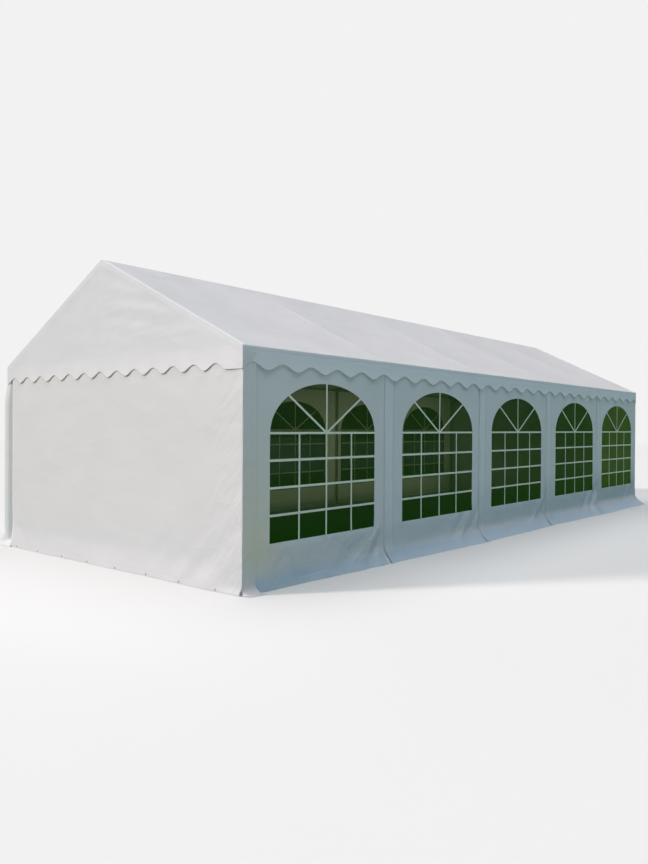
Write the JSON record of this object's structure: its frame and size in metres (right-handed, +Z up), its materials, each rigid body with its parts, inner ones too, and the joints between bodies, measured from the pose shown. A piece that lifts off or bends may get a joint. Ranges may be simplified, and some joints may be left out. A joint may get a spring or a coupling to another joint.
{
  "type": "marquee tent",
  "caption": "White PVC marquee tent with a gable roof, wavy valance, wall panels with arched windows and ground skirts, on a steel tube frame.",
  "frame": {"origin": "on the ground, in the middle of the tent's plan", "axes": "+Z up; +Y along the ridge, from the front gable to the rear gable; +X towards the right side as seen from the front"},
  "size_m": [4.2296, 10.2296, 3.0299],
  "materials": {
    "galvanised_steel": "galvanised tube",
    "white_pvc": "PVC coated cloth, satin",
    "clear_film": "clear PVC film"
  },
  "bodies": {
    "root": {"eave_beam_left": "galvanised_steel", "eave_beam_right": "galvanised_steel", "gable_beam_front": "galvanised_steel", "gable_beam_rear": "galvanised_steel", "ridge_beam": "galvanised_steel", "leg_right_1": "galvanised_steel", "leg_right_2": "galvanised_steel", "leg_right_3": "galvanised_steel", "leg_right_4": "galvanised_steel", "leg_right_5": "galvanised_steel", "leg_right_6": "galvanised_steel", "leg_left_1": "galvanised_steel", "leg_left_2": "galvanised_steel", "leg_left_3": "galvanised_steel", "leg_left_4": "galvanised_steel", "leg_left_5": "galvanised_steel", "leg_left_6": "galvanised_steel", "rafter_right_1": "galvanised_steel", "rafter_right_2": "galvanised_steel", "rafter_right_3": "galvanised_steel", "rafter_right_4": "galvanised_steel", "rafter_right_5": "galvanised_steel", "rafter_right_6": "galvanised_steel", "rafter_left_1": "galvanised_steel", "rafter_left_2": "galvanised_steel", "rafter_left_3": "galvanised_steel", "rafter_left_4": "galvanised_steel", "rafter_left_5": "galvanised_steel", "rafter_left_6": "galvanised_steel", "gable_front": "white_pvc", "gable_rear": "white_pvc", "gable_wall_front": "white_pvc", "gable_wall_rear": "white_pvc", "roof_slope_right": "white_pvc", "roof_slope_left": "white_pvc", "valance_right": "white_pvc", "valance_left": "white_pvc", "wall_panel_right_1": "white_pvc", "wall_panel_right_2": "white_pvc", "wall_panel_right_3": "white_pvc", "wall_panel_right_4": "white_pvc", "wall_panel_right_5": "white_pvc", "wall_panel_left_1": "white_pvc", "wall_panel_left_2": "white_pvc", "wall_panel_left_3": "white_pvc", "wall_panel_left_4": "white_pvc", "wall_panel_left_5": "white_pvc", "window_film_right": "clear_film", "window_film_left": "clear_film"}
  },
  "joints": []
}
